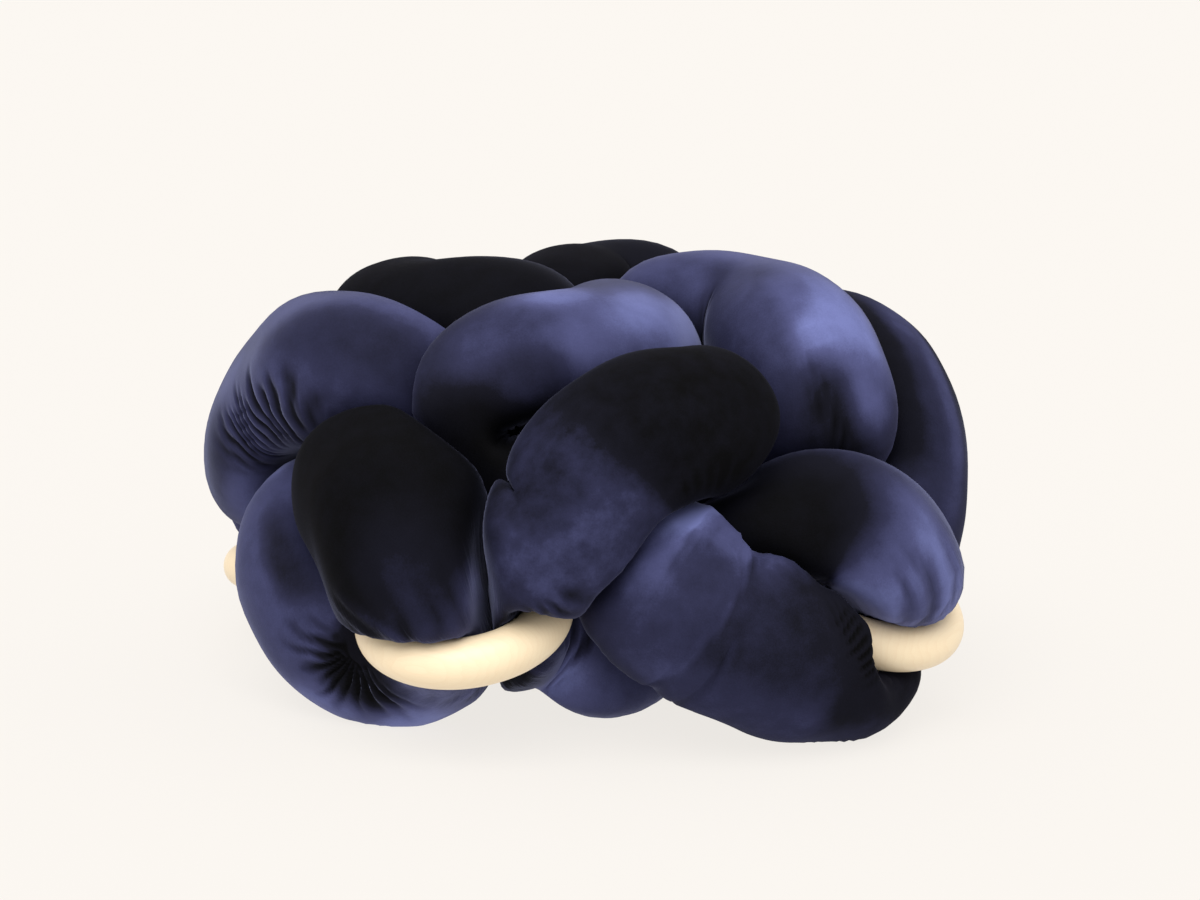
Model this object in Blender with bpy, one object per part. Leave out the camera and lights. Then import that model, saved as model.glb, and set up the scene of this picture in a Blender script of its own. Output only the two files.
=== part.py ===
"""Knot cushion: one stuffed velvet tube, closed end to end, worked into a four-cornered knot.

Each corner stands on the same loop of the tube. The tube comes up from under the cushion, arches over
the corner and drops through a wooden ring, turns under it to make a foot, climbs the side under the next
band, crosses the crown, doubles back on itself and runs down as a band through the ring of its corner.
Sizes are in millimetres and bearings in degrees, counter-clockwise from +X seen from above. The cushion
stands on z = 0.
"""

import math
from collections import namedtuple

import bpy
import numpy as np
from mathutils import Matrix
from mathutils.bvhtree import BVHTree

MM = 0.001
CORNERS = 4
FIRST_BEARING = -115.0          # bearing of the first corner, at the front left
AXIS_AT = (4.0, -0.6)           # where bearings and reaches start, from below the middle of the cushion's box

# Wooden rings, one at each corner, tipped so that the outer edge hangs lower.
RING_REACH = 217.0              # from the cushion's upright axis to the ring's middle
RING_HEIGHT = 93.0
RING_TILT = 20.0
RING_LEANS = (0.0, 8.0, 0.0, 0.0)   # how much lower the clockwise side of each ring hangs, in degrees
RING_RADIUS = 57.0              # to the middle of the wood
RING_THICKNESS = 34.0
RING_STEPS = 28
RING_SECTION_STEPS = 12

# The tube.
STATIONS = 306                  # cross-sections along the tube
SECTION_POINTS = 18             # points round each cross-section
CLOSER_AT_RINGS = 1.6           # how much more closely stations lie at the rings
RING_PINCH = 55.0               # how far from a ring's middle they lie more closely
STRAND_GAP = 2.4                # left between two stretches of the tube that press on each other
RING_GAP = 0.4                  # left between the cloth and the wood
BEND_SHARE = 0.88               # how near the inside of a bend comes to the middle of that bend
CREASE_SHARPNESS = 12.0         # the higher, the crisper the edge where the tube is pressed flat
NEIGHBOUR_STATIONS = 960        # points along the tube that each cross-section looks out for
SMOOTHING = (2, 1)              # passes along the tube, and round it
THINNEST = 4.0                  # the least distance from the tube's middle to its skin
MOST_ROUNDS = 30                # of moving the skin off the wood and off itself
CLEAR_ENOUGH = 0.05             # what may be left of a move off the wood
DRAWN_IN = 0.94                 # how far the skin is drawn in at a time where two of its faces cross

# A place on the tube's middle line: its bearing from the corner, its distance from the upright axis, its
# height, and how thick the tube would be there if nothing pressed on it.
Section = namedtuple("Section", "place bearing reach height radius")

# A place in a ring's hole, measured sideways from the ring's middle.
RingPass = namedtuple("RingPass", "place sideways radius")

# How one corner's place differs from the same place at the others.
Uneven = namedtuple("Uneven", "corner place bearing reach height radius", defaults=(0,))

LOOP = (
    Section("low crossing", -54, 76, 72, 60),
    Section("shoulder rise", -37, 142, 114, 62),
    Section("shoulder crest", -15, 212, 164, 66),
    Section("shoulder drop", -3, 236, 130, 66),
    RingPass("into the ring", -14, 61),
    Section("out below the ring", -4, 212, 54, 54),
    Section("foot", -20, 202, 58, 64),
    Section("lower side", -39, 207, 86, 61),
    Section("upper side", -52, 196, 130, 60),
    Section("under the band", -67, 158, 172, 60),
    Section("valley", -88, 158, 208, 60),
    Section("crown start", -89, 148, 240, 61),
    Section("crown crest", -70, 107, 252, 64),
    Section("crown end", -26, 44, 236, 66),
    Section("under the crown", 28, 68, 182, 64),
    Section("turn back", 56, 136, 198, 61),
    Section("band start", 50, 184, 220, 60),
    Section("band", 29, 207, 194, 61),
    Section("band end", 20, 224, 150, 58),
    Section("band foot", 10, 224, 116, 56),
    RingPass("back through the ring", 26, 54),
    Section("in below the ring", 9, 184, 78, 56),
    Section("low run", 25, 132, 72, 61),
)

UNEVENNESS = (
    Uneven(0, "ring", 3, 0, -2),
    Uneven(0, "out below the ring", 0, -12, 15, -5),
    Uneven(0, "foot", 0, -14, -3),
    Uneven(0, "shoulder drop", 1, 0, -2, 5),
    Uneven(0, "upper side", 0, -6, 0),
    Uneven(0, "crown start", 0, 10, -8),
    Uneven(0, "crown crest", 0, 10, -10),
    Uneven(0, "turn back", -4, -2, 1, -1),
    Uneven(0, "band start", -3, -3, 2, -5),
    Uneven(0, "band", -1, 0, 5),
    Uneven(0, "band end", 0, -2, 3),
    Uneven(0, "band foot", -1, 4, 2),
    Uneven(0, "back through the ring", 0, 0, 0, -8),
    Uneven(0, "in below the ring", 8, -34, 2),
    Uneven(0, "low run", 6, 8, -2, 3),
    Uneven(1, "ring", 0, 0, -9),
    Uneven(1, "shoulder rise", 0, 0, -12),
    Uneven(1, "shoulder crest", 2, -2, -26),
    Uneven(1, "shoulder drop", -4, -5, -20, 3),
    Uneven(1, "out below the ring", -4, 12, 2, 3),
    Uneven(1, "foot", 0, 14, 5, 3),
    Uneven(1, "lower side", -1, 2, 6, 3),
    Uneven(1, "upper side", -3, -1, -1, 2),
    Uneven(1, "valley", -6, 4, -10),
    Uneven(1, "crown start", 0, 2, -9),
    Uneven(1, "crown crest", 2, 0, -11),
    Uneven(1, "crown end", 0, 0, -6),
    Uneven(1, "band start", 0, 4, 4),
    Uneven(1, "band", 0, 4, 4),
    Uneven(1, "band end", 0, -4, 0),
    Uneven(1, "band foot", 0, -5, 0),
    Uneven(1, "in below the ring", 0, 0, -7),
    Uneven(2, "valley", 0, 14, 0),
    Uneven(2, "crown start", 0, 11, 4),
    Uneven(2, "crown crest", 0, 9, 2),
    Uneven(3, "ring", 4, 4, -20),
    Uneven(3, "crown start", 6, 0, 0),
    Uneven(3, "crown crest", 8, 0, -6),
    Uneven(3, "turn back", 0, 0, 8),
    Uneven(3, "band start", 0, 0, 12),
    Uneven(3, "band", 0, 3, 4),
    Uneven(3, "band end", 0, 6, -2),
    Uneven(3, "band foot", 0, 0, -8),
    Uneven(3, "in below the ring", 0, 0, -16),
    Uneven(3, "low run", 0, 0, -8),
)

VELVET_COLOUR = (0.016, 0.018, 0.075, 1.0)
VELVET_ROUGHNESS = 0.8
WOOD_COLOUR = (0.80, 0.56, 0.34, 1.0)
WOOD_ROUGHNESS = 0.45


# ---- rings ----

def corner_bearing(corner):
    return math.radians(FIRST_BEARING + corner * 360.0 / CORNERS)


def as_it_lies(corner, place, bearing, reach, height):
    """A place's bearing in radians, its reach and its height, with what is uneven at that corner."""
    for uneven in UNEVENNESS:
        if (uneven.corner, uneven.place) == (corner, place):
            bearing += uneven.bearing
            reach += uneven.reach
            height += uneven.height
    return corner_bearing(corner) + math.radians(bearing), reach, height


def radius_as_it_lies(corner, row):
    return row.radius + sum(
        uneven.radius for uneven in UNEVENNESS if (uneven.corner, uneven.place) == (corner, row.place)
    )


def ring_middle(corner):
    """The middle of a ring, and its sideways and outward directions in the ring's plane."""
    bearing, reach, height = as_it_lies(corner, "ring", 0.0, RING_REACH, RING_HEIGHT)
    tilt = math.radians(RING_TILT)
    lean = math.radians(RING_LEANS[corner])
    flat_out = np.array([math.cos(bearing), math.sin(bearing), 0.0])
    up = np.array([0.0, 0.0, 1.0])
    outward = flat_out * math.cos(tilt) - up * math.sin(tilt)
    level = np.cross(up, flat_out)
    sideways = level * math.cos(lean) + np.cross(outward, level) * math.sin(lean)
    axis = np.array([*AXIS_AT, 0.0])
    return axis + flat_out * reach + up * height, sideways, outward


def ring_circle(corner, steps=64):
    """Points along the middle of the wood."""
    middle, sideways, outward = ring_middle(corner)
    angle = np.linspace(0.0, math.tau, steps, endpoint=False)[:, None]
    return middle + RING_RADIUS * (np.cos(angle) * sideways + np.sin(angle) * outward)


# ---- the tube's middle line ----

def section_middle(row, corner):
    """Where the tube's middle lies at one row of the loop."""
    if isinstance(row, RingPass):
        middle, sideways, _ = ring_middle(corner)
        return middle + sideways * row.sideways
    angle, reach, height = as_it_lies(corner, row.place, row.bearing, row.reach, row.height)
    x, y = AXIS_AT
    return np.array([x + reach * math.cos(angle), y + reach * math.sin(angle), height])


def whole_route():
    """Middle and radius at every row of every corner's loop, as rows of x, y, z, radius."""
    return np.array([
        [*section_middle(row, corner), radius_as_it_lies(corner, row)]
        for corner in range(CORNERS)
        for row in LOOP
    ])


def closed_spline(knots, values, places):
    """A closed cubic spline through the values at the knots, read at the places. The last knot closes it."""
    count = len(values)
    span = np.diff(knots)
    before = np.roll(span, 1)
    rows = np.arange(count)
    matrix = np.zeros((count, count))
    matrix[rows, rows - 1] = before
    matrix[rows, rows] = 2.0 * (before + span)
    matrix[rows, (rows + 1) % count] = span
    slope = (np.roll(values, -1, axis=0) - values) / span[:, None]
    bend = np.linalg.solve(matrix, 6.0 * (slope - np.roll(slope, 1, axis=0)))
    here = np.clip(np.searchsorted(knots, places, side="right") - 1, 0, count - 1)
    after = (here + 1) % count
    width = span[here][:, None]
    left = (knots[here + 1] - places)[:, None]
    right = (places - knots[here])[:, None]
    cubic = (bend[here] * left**3 + bend[after] * right**3) / (6.0 * width)
    from_here = (values[here] / width - bend[here] * width / 6.0) * left
    from_after = (values[after] / width - bend[after] * width / 6.0) * right
    return cubic + from_here + from_after


def tube_line(stations, closer_at_rings=0.0):
    """Points along the tube's middle, the tube's radius there, how far along they lie, and its length."""
    route = whole_route()
    ring = np.vstack([route, route[:1]])
    chord = np.linalg.norm(np.diff(ring[:, :3], axis=0), axis=1)
    knots = np.concatenate([[0.0], np.cumsum(chord**0.75)])
    fine = np.linspace(0.0, knots[-1], 8001)
    trace = closed_spline(knots, route, fine)[:, :3]
    run = np.concatenate([[0.0], np.cumsum(np.linalg.norm(np.diff(trace, axis=0), axis=1))])
    middles = np.array([ring_middle(corner)[0] for corner in range(CORNERS)])
    to_ring = np.linalg.norm(trace[:, None] - middles[None], axis=2).min(axis=1)
    density = 1.0 + closer_at_rings * np.exp(-((to_ring / RING_PINCH) ** 4))
    share = np.concatenate([[0.0], np.cumsum((density[1:] + density[:-1]) / 2.0 * np.diff(run))])
    wanted = np.arange(stations) * share[-1] / stations
    line = closed_spline(knots, route, np.interp(wanted, share, fine))
    return line[:, :3], line[:, 3], np.interp(wanted, share, run), run[-1]


def unit(vectors):
    return vectors / np.linalg.norm(vectors, axis=-1, keepdims=True)


def dot(a, b):
    return (a * b).sum(axis=-1)


def carried_frames(line):
    """Two directions across the tube at each station, carried along it without twisting.

    A first guess points away from the cushion's axis. The angle by which each guess is turned against the
    one before it is summed up and taken out, and what is left over at the closing is spread evenly.
    """
    along = unit(np.roll(line, -1, axis=0) - np.roll(line, 1, axis=0))
    guess = line - np.array([0.0, 0.0, RING_HEIGHT])
    first = unit(guess - dot(guess, along)[:, None] * along)
    second = np.cross(along, first)
    ahead = np.roll(along, -1, axis=0)
    tip = dot(first, ahead) / (1.0 + dot(along, ahead))
    carried = first - tip[:, None] * (along + ahead)
    turned = np.arctan2(
        dot(carried, np.roll(second, -1, axis=0)), dot(carried, np.roll(first, -1, axis=0))
    )
    total = np.cumsum(turned)
    left_over = math.remainder(total[-1], math.tau)
    angle = np.concatenate([[0.0], total[:-1]]) - left_over * np.arange(len(line)) / len(line)
    angle = angle[:, None]
    outward = np.cos(angle) * first + np.sin(angle) * second
    return outward, np.cross(along, outward)


# ---- the tube's skin: how far it may reach in each direction ----

def reach_to_strands(spokes, line, radius, run, length):
    """Any two stretches of the tube share the space between them, so a bend's inside stops at its middle.

    The plane between two balls of radius a and b, d apart, lies (d*d + a*a - b*b) / 2d from the first, and
    the skin stops half the gap before it. Stretches that follow on from each other count as equally thick.
    """
    others, other_radius, other_run, _ = tube_line(NEIGHBOUR_STATIONS)
    nearest = 2.0 * length / NEIGHBOUR_STATIONS
    reach = np.full(spokes.shape[:2], np.inf)
    for station, middle in enumerate(line):
        to_other = others - middle
        distance = np.linalg.norm(to_other, axis=1)
        apart = np.abs(other_run - run[station])
        apart = np.minimum(apart, length - apart)
        strange = np.clip((apart / radius[station] - 2.0) / 2.0, 0.0, 1.0)
        squares = distance**2 + strange * (radius[station] ** 2 - other_radius**2)
        kept = np.where(strange > 0.0, STRAND_GAP * distance, (1.0 - BEND_SHARE) * distance**2)
        counted = apart > nearest
        ahead = spokes[station] @ to_other[counted].T
        plane = (squares - kept)[counted] / (2.0 * np.maximum(ahead, 1e-6))
        reach[station] = np.where(ahead > 0.0, plane, np.inf).min(axis=1)
    return reach


def reach_to_rings(spokes, line):
    """Each spoke stops where it would run into the wood, taken as a row of balls."""
    thick = RING_THICKNESS / 2.0 + RING_GAP
    reach = np.full(spokes.shape[:2], np.inf)
    for corner in range(CORNERS):
        to_wood = ring_circle(corner)[None] - line[:, None]
        ahead = np.einsum("imk,ijk->imj", spokes, to_wood)
        beside = dot(to_wood, to_wood)[:, None, :] - ahead**2
        into = ahead - np.sqrt(np.maximum(thick**2 - beside, 0.0))
        meets = (ahead > 0.0) & (beside < thick**2)
        reach = np.minimum(reach, np.where(meets, into, np.inf).min(axis=2))
    return reach


def smoothed(field):
    for _ in range(SMOOTHING[0]):
        field = (np.roll(field, 1, axis=0) + 2.0 * field + np.roll(field, -1, axis=0)) / 4.0
    for _ in range(SMOOTHING[1]):
        field = (np.roll(field, 1, axis=1) + 2.0 * field + np.roll(field, -1, axis=1)) / 4.0
    return field


def way_out_of_wood(places):
    """How each place would have to move to leave a ring's wood and its gap, nought where it is clear."""
    move = np.zeros_like(places)
    for corner in range(CORNERS):
        middle, sideways, outward = ring_middle(corner)
        upright = np.cross(outward, sideways)
        offset = places - middle
        in_plane = offset - dot(offset, upright)[..., None] * upright
        wood = in_plane * (RING_RADIUS / np.maximum(np.linalg.norm(in_plane, axis=-1, keepdims=True), 1.0))
        from_wood = offset - wood
        distance = np.linalg.norm(from_wood, axis=-1, keepdims=True)
        depth = np.maximum(RING_THICKNESS / 2.0 + RING_GAP - distance, 0.0)
        move += from_wood * (depth / np.maximum(distance, 0.1))
    return move


def clear_of_rings(points, faces):
    """Moves the skin off the wood wherever an edge or a diagonal of one of its faces still cuts into it."""
    middles = np.array([ring_middle(corner)[0] for corner in range(CORNERS)])
    flat = points.reshape(-1, 3).copy()
    to_ring = np.linalg.norm(flat[faces[:, 0], None] - middles[None], axis=2).min(axis=1)
    faces = faces[to_ring < RING_RADIUS + 2.0 * RING_THICKNESS]
    share = (np.arange(7) / 6.0)[:, None]
    for _ in range(MOST_ROUNDS):
        start = flat[faces[:, [0, 3, 0, 1, 0, 1]]][:, :, None]
        end = flat[faces[:, [1, 2, 3, 2, 2, 3]]][:, :, None]
        moves = way_out_of_wood((start + (end - start) * share).reshape(len(faces), -1, 3))
        size = np.linalg.norm(moves, axis=2)
        if size.max() < CLEAR_ENOUGH:
            break
        move = moves[np.arange(len(faces)), size.argmax(axis=1)]
        order = np.argsort(size.max(axis=1))
        push = np.zeros_like(flat)
        push[faces[order]] = move[order][:, None]
        flat += 0.6 * push
    return flat.reshape(points.shape)


def crossing_corners(points, faces):
    """Which points belong to faces that cross another face of the same skin."""
    flat = points.reshape(-1, 3)
    triangles = np.vstack([faces[:, [0, 1, 2]], faces[:, [0, 2, 3]]])
    tree = BVHTree.FromPolygons(flat.tolist(), triangles.tolist())
    pairs = np.array([pair for pair in tree.overlap(tree) if pair[0] < pair[1]], int).reshape(-1, 2)
    first, second = triangles[pairs[:, 0]], triangles[pairs[:, 1]]
    apart = ~(first[:, :, None] == second[:, None, :]).any(axis=(1, 2))
    crossing = np.zeros(len(flat), bool)
    crossing[np.concatenate([first[apart], second[apart]]).ravel()] = True
    return crossing.reshape(points.shape[:2])


def tube_skin(faces):
    """Points of the tube's skin, one row for each station."""
    line, radius, run, length = tube_line(STATIONS, CLOSER_AT_RINGS)
    outward, sideways = carried_frames(line)
    angle = np.linspace(0.0, math.tau, SECTION_POINTS, endpoint=False)[None, :, None]
    spokes = np.cos(angle) * outward[:, None, :] + np.sin(angle) * sideways[:, None, :]
    limit = reach_to_strands(spokes, line, radius, run, length)
    limit = np.minimum(limit, reach_to_rings(spokes, line))
    limit = np.clip(limit, THINNEST, 1000.0)
    free = np.broadcast_to(radius[:, None], limit.shape)
    soft = (free**-CREASE_SHARPNESS + limit**-CREASE_SHARPNESS) ** (-1.0 / CREASE_SHARPNESS)
    reach = np.minimum(smoothed(soft), limit)
    to_floor = line[:, None, 2] / np.maximum(-spokes[:, :, 2], 1e-6)
    reach = np.minimum(reach, np.where(spokes[:, :, 2] < 0.0, to_floor, np.inf))
    points = line[:, None, :] + reach[:, :, None] * spokes
    points[:, :, 2] = np.where(points[:, :, 2] < 0.01, 0.0, points[:, :, 2])
    points = clear_of_rings(points, faces)
    for _ in range(MOST_ROUNDS):
        crossing = crossing_corners(points, faces)
        if not crossing.any():
            break
        drawn_in = line[:, None, :] + (points - line[:, None, :]) * DRAWN_IN
        drawn_in[:, :, 2] = np.where(points[:, :, 2] == 0.0, 0.0, drawn_in[:, :, 2])
        points = clear_of_rings(np.where(crossing[:, :, None], drawn_in, points), faces)
    return points


# ---- objects ----

def clear_scene():
    for thing in list(bpy.data.objects):
        bpy.data.objects.remove(thing, do_unlink=True)


def material(name, colour, roughness):
    finish = bpy.data.materials.new(name)
    finish.use_nodes = True
    shader = finish.node_tree.nodes["Principled BSDF"]
    shader.inputs["Base Color"].default_value = colour
    shader.inputs["Roughness"].default_value = roughness
    shader.inputs["Metallic"].default_value = 0.0
    finish.diffuse_color = colour
    return finish


def skin_faces():
    """Four-sided faces between neighbouring stations, closed both round the tube and end to end."""
    rows, columns = np.meshgrid(np.arange(STATIONS), np.arange(SECTION_POINTS), indexing="ij")
    next_row = (rows + 1) % STATIONS
    next_column = (columns + 1) % SECTION_POINTS
    corners = [(rows, columns), (rows, next_column), (next_row, next_column), (next_row, columns)]
    return np.stack([row * SECTION_POINTS + column for row, column in corners], axis=-1).reshape(-1, 4)


def velvet_tube():
    faces = skin_faces()
    points = tube_skin(faces)
    mesh = bpy.data.meshes.new("velvet_tube")
    mesh.from_pydata((points.reshape(-1, 3) * MM).tolist(), [], faces.tolist())
    mesh.materials.append(material("velvet", VELVET_COLOUR, VELVET_ROUGHNESS))
    mesh.shade_smooth()
    tube = bpy.data.objects.new("velvet_tube", mesh)
    bpy.context.scene.collection.objects.link(tube)
    return tube


def wood_ring(corner, wood):
    """A turned ring, round in section."""
    middle, sideways, outward = ring_middle(corner)
    turned = Matrix(np.array([outward, sideways, np.cross(outward, sideways)]).T.tolist())
    bpy.ops.mesh.primitive_torus_add(
        location=(middle * MM).tolist(),
        rotation=turned.to_euler(),
        major_segments=RING_STEPS,
        minor_segments=RING_SECTION_STEPS,
        major_radius=RING_RADIUS * MM,
        minor_radius=RING_THICKNESS / 2.0 * MM,
    )
    ring = bpy.context.object
    ring.name = f"wood_ring_{corner + 1}"
    ring.data.materials.append(wood)
    ring.data.shade_smooth()
    return ring


def main():
    clear_scene()
    velvet_tube()
    wood = material("wood", WOOD_COLOUR, WOOD_ROUGHNESS)
    for corner in range(CORNERS):
        wood_ring(corner, wood)


if __name__ == "__main__":
    main()
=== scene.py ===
import itertools
import math
from collections import namedtuple

import bpy
import numpy as np
from mathutils import Matrix, Vector


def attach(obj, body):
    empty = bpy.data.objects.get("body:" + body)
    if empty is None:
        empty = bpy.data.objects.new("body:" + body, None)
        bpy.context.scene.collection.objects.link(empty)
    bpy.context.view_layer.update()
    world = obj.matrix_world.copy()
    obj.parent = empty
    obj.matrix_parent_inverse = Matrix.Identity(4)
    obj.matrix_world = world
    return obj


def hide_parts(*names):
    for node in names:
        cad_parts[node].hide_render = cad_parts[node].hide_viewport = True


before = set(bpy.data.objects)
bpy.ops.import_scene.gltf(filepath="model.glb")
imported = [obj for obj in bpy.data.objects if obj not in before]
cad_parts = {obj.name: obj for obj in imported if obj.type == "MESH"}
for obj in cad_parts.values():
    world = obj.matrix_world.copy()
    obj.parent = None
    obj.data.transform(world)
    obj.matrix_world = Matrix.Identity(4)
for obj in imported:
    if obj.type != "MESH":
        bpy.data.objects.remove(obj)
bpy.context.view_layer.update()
mm = 0.001
print("frame loaded:", sorted(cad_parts))


# Small helpers that the shapes share. Lengths are in millimetres until a mesh is made.

def unit(vectors):
    return vectors / np.linalg.norm(vectors, axis=-1, keepdims=True)


def dot(a, b):
    return (a * b).sum(axis=-1)


def smoothStep(low, high, value):  # 0 below low, 1 above high, and 3t^2 - 2t^3 between them
    t = np.clip((value - low) / (high - low), 0.0, 1.0)
    return t * t * (3.0 - 2.0 * t)


def roundTurns(steps):  # angles spread evenly round a circle
    return np.linspace(0.0, math.tau, steps, endpoint=False)


def flatBell(value, power=4):  # near 1 while value is well below 1, and soon 0 past it
    return np.exp(-(value**power))


def waveNoise(places, size, seed, waves=28):
    # A sum of cosine waves in random directions, each about size long, scaled to spread about -1 to 1.
    random = np.random.default_rng(seed)
    directions = unit(random.normal(size=(waves, places.shape[-1])))
    lengths = size * random.uniform(0.7, 1.5, waves)
    phases = random.uniform(0.0, math.tau, waves)
    turns = places @ (directions * (math.tau / lengths)[:, None]).T + phases
    return np.cos(turns).sum(axis=-1) * math.sqrt(2.0 / waves) * 0.6


def wrappedFaces(rows, columns):  # four-sided, of a grid that closes on itself both ways
    row, column = np.meshgrid(np.arange(rows), np.arange(columns), indexing="ij")
    nextRow, nextColumn = (row + 1) % rows, (column + 1) % columns
    around = [(row, column), (row, nextColumn), (nextRow, nextColumn), (nextRow, column)]
    return np.stack([r * columns + c for r, c in around], axis=-1).reshape(-1, 4)


def linked(name, data):
    made = bpy.data.objects.new(name, data)
    bpy.context.scene.collection.objects.link(made)
    return made


def meshPiece(name, points, material):  # points as a grid, in millimetres
    faces = wrappedFaces(*points.shape[:2])
    mesh = bpy.data.meshes.new(name)
    mesh.vertices.add(points.size // 3)
    mesh.vertices.foreach_set("co", (points * mm).astype(np.float32).ravel())
    mesh.loops.add(faces.size)
    mesh.loops.foreach_set("vertex_index", faces.astype(np.int32).ravel())
    mesh.polygons.add(len(faces))
    mesh.polygons.foreach_set("loop_start", np.arange(0, faces.size, 4, dtype=np.int32))
    mesh.materials.append(material)
    mesh.update(calc_edges=True)
    mesh.validate()
    mesh.shade_smooth()
    return linked(name, mesh)


# The camera stands where the photograph was taken from.

cameraView = {
    "aim": (0.0040, -0.0006, 0.150),  # metres
    "distance": 2.2,
    "elevation": 11.5,
    "roll": 2.0,
    "focalPixels": 2997.0,
    "aimPixel": (590.0, 475.0),
    "imageSize": (1200.0, 900.0),
    "sensor": 36.0,
}


def makeCamera(view):
    # The camera sits back from the aim along its line of sight; the shift puts the aim on its pixel.
    rise = math.radians(view["elevation"])
    back = Vector((0.0, -math.cos(rise), math.sin(rise)))
    width, height = view["imageSize"]
    lens = bpy.data.cameras.new("photoCamera")
    lens.sensor_width = view["sensor"]
    lens.lens = view["focalPixels"] / width * view["sensor"]
    lens.shift_x = (width / 2.0 - view["aimPixel"][0]) / width
    lens.shift_y = (view["aimPixel"][1] - height / 2.0) / width
    camera = linked("photoCamera", lens)
    turn = back.to_track_quat("Z", "Y").to_matrix().to_4x4()
    roll = Matrix.Rotation(math.radians(view["roll"]), 4, "Z")
    camera.matrix_world = Matrix.Translation(Vector(view["aim"]) + back * view["distance"]) @ turn @ roll
    bpy.context.scene.camera = camera


makeCamera(cameraView)
print("camera placed")


# The rings come before the tube, because the tube is worked around them.

ringShape = {
    "corners": 4,
    "axisAt": (4.0, -0.6, 0.0),  # where bearings and reaches start
    "firstBearing": -115.0,  # of the front left corner, counter-clockwise from +X
    "reach": 217.0,  # from the cushion's upright axis to the ring's middle
    "height": 93.0,
    "tilt": 20.0,  # the outer edge hangs lower
    "leans": (0.0, 8.0, 0.0, 0.0),  # how much lower each ring's clockwise side hangs, in degrees
    "radius": 57.0,  # to the middle of the wood
    "thickness": 34.0,
    "steps": 160,
    "sectionSteps": 56,
    "boardsApart": 200.0,  # between the places in the board that two rings are turned from
}
corners = range(ringShape["corners"])


def asItLies(corner, place, bearing, *sizes):  # bearing in radians from +X, then reach, height and radius
    values = (bearing, *sizes)
    for change in unevenRows:
        if (change.corner, change.place) == (corner, place):
            values = [value + more for value, more in zip(values, change[2:])]
    cornerBearing = math.radians(ringShape["firstBearing"] + corner * 360.0 / ringShape["corners"])
    return cornerBearing + math.radians(values[0]), *values[1:]


def ringMiddle(corner):  # the ring's middle, with its sideways and outward directions in the ring's plane
    bearing, reach, height = asItLies(corner, "ring", 0.0, ringShape["reach"], ringShape["height"])
    tilt = math.radians(ringShape["tilt"])
    flatOut = np.array([math.cos(bearing), math.sin(bearing), 0.0])
    up = np.array([0.0, 0.0, 1.0])
    outward = flatOut * math.cos(tilt) - up * math.sin(tilt)
    lean = math.radians(ringShape["leans"][corner])
    level = np.cross(up, flatOut)
    sideways = level * math.cos(lean) + np.cross(outward, level) * math.sin(lean)
    return ringShape["axisAt"] + flatOut * reach + up * height, sideways, outward


def ringCircle(corner, steps=96):  # points along the middle of the wood
    middle, sideways, outward = ringMiddle(corner)
    angle = roundTurns(steps)[:, None]
    return middle + ringShape["radius"] * (np.cos(angle) * sideways + np.sin(angle) * outward)


# The tube's middle line: one loop for each corner, joined end to end into one closed line.

# Bearings are counted from the corner. A ringPass lies in a ring's hole; uneven says how one corner differs.
section = namedtuple("section", "place bearing reach height radius")
ringPass = namedtuple("ringPass", "place sideways radius")
uneven = namedtuple("uneven", "corner place bearing reach height radius", defaults=(0,))

loopRows = (
    section("low crossing", -54, 76, 72, 60),
    section("shoulder rise", -37, 142, 114, 62),
    section("shoulder crest", -15, 212, 164, 66),
    section("shoulder drop", -3, 236, 130, 66),
    ringPass("into the ring", -14, 61),
    section("out below the ring", -4, 212, 54, 54),
    section("foot", -20, 202, 58, 64),
    section("lower side", -39, 207, 86, 61),
    section("upper side", -52, 196, 130, 60),
    section("under the band", -67, 158, 172, 60),
    section("valley", -88, 158, 208, 60),
    section("crown start", -89, 148, 240, 61),
    section("crown crest", -70, 107, 252, 64),
    section("crown end", -26, 44, 236, 66),
    section("under the crown", 28, 68, 182, 64),
    section("turn back", 56, 136, 198, 61),
    section("band start", 50, 184, 220, 60),
    section("band", 29, 207, 194, 61),
    section("band end", 20, 224, 150, 58),
    section("band foot", 10, 224, 116, 56),
    ringPass("back through the ring", 26, 54),
    section("in below the ring", 9, 184, 78, 56),
    section("low run", 25, 132, 72, 61),
)

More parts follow.
